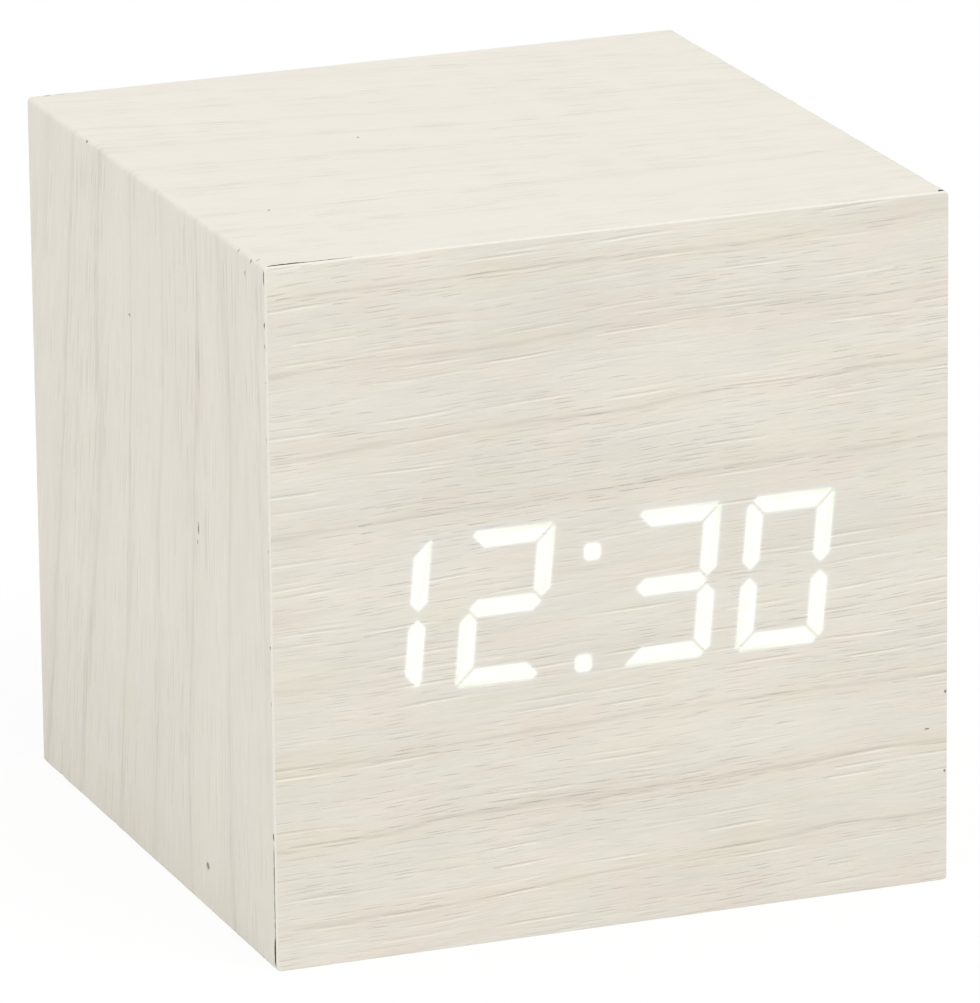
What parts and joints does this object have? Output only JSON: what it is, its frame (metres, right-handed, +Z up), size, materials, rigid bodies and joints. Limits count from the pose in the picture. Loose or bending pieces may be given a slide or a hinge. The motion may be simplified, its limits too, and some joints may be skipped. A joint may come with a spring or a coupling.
{
  "type": "talking clock",
  "caption": "Cube-shaped table clock in pale wood-look foil; white segment digits glow through its plain front, with buttons, socket, speaker grille and battery door at the back.",
  "frame": {"origin": "middle of the face that the clock stands on", "axes": "+X to the right seen from the front, +Y towards the back, +Z up; the digits face -Y"},
  "size_m": [0.068, 0.068, 0.068],
  "materials": {
    "wood_foil": "pale whitewashed wood-print foil, satin",
    "display_glow": "white light through thin foil",
    "case_fibreboard": "raw fine fibreboard",
    "diffuser": "thin white film",
    "mask_plastic": "white moulded light guide",
    "circuit_board": "green solder resist",
    "led_lens": "clear yellowish lens",
    "chip_black": "moulded epoxy",
    "steel": "bare steel",
    "cover_plastic": "fine textured black moulding",
    "button_plastic": "smooth black moulding",
    "switch_black": "black housing",
    "connector_white": "natural nylon",
    "battery_can": "plain wrapped steel can",
    "spring_steel": "nickel-plated",
    "magnet": "plated magnet",
    "cone_film": "thin formed film",
    "copper": "enamelled copper",
    "socket_black": "black insulator",
    "cable_grey": "grey insulation",
    "wire_red": "red insulation",
    "wire_black": "black insulation",
    "sensor_bead": "epoxy-dipped bead"
  },
  "bodies": {
    "case": {"backup_cell": "steel", "backup_holder": "switch_black", "base_foil": "wood_foil", "battery_1": "battery_can", "battery_2": "battery_can", "battery_3": "battery_can", "battery_springs": "spring_steel", "battery_wire_black": "wire_black", "battery_wire_red": "wire_red", "board_screws": "steel", "bottom_board": "case_fibreboard", "cable_headers": "connector_white", "cable_plugs": "connector_white", "case_foil": "wood_foil", "clock_chip": "chip_black", "contact_plates": "spring_steel", "corner_battens": "case_fibreboard", "cover_screws": "steel", "crystal": "steel", "diffuser_sheet": "diffuser", "digit_mask": "mask_plastic", "driver_chips": "chip_black", "flat_cable": "cable_grey", "front_board": "case_fibreboard", "front_foil": "wood_foil", "left_board": "case_fibreboard", "lit_colon": "display_glow", "lit_segments": "display_glow", "main_board": "circuit_board", "microphone": "steel", "rear_board": "circuit_board", "rear_board_screws": "steel", "rear_cover": "cover_plastic", "right_board": "case_fibreboard", "segment_leds": "led_lens", "socket_shell": "spring_steel", "socket_tongue": "socket_black", "speaker_cone": "cone_film", "speaker_frame": "steel", "speaker_magnet": "magnet", "speaker_wires": "wire_red", "switch_bodies": "switch_black", "thermistor": "sensor_bead", "top_board": "case_fibreboard", "voice_chip": "chip_black", "voice_coil": "copper", "voice_switch_body": "spring_steel"},
    "door": {"battery_door": "cover_plastic"},
    "set_key": {"set_button": "button_plastic", "set_plunger": "connector_white"},
    "up_key": {"up_button": "button_plastic", "up_plunger": "connector_white"},
    "down_key": {"down_button": "button_plastic", "down_plunger": "connector_white"},
    "voice_slider": {"voice_switch_knob": "button_plastic"}
  },
  "joints": [
    {"name": "set_press", "type": "slide", "parent": "case", "child": "set_key", "axis": [0, -1, 0], "range_m": [0, 0.0004], "stiffness_N_per_m": 3000},
    {"name": "up_press", "type": "slide", "parent": "case", "child": "up_key", "axis": [0, -1, 0], "range_m": [0, 0.0004], "stiffness_N_per_m": 3000},
    {"name": "down_press", "type": "slide", "parent": "case", "child": "down_key", "axis": [0, -1, 0], "range_m": [0, 0.0004], "stiffness_N_per_m": 3000},
    {"name": "voice_slide", "type": "slide", "parent": "case", "child": "voice_slider", "axis": [1, 0, 0], "range_m": [0, 0.002]},
    {"name": "door_hinge", "type": "hinge", "parent": "case", "child": "door", "pos_m": [0, 0.0318, 0.01095], "axis": [-1, 0, 0], "range_deg": [0, 90]}
  ]
}
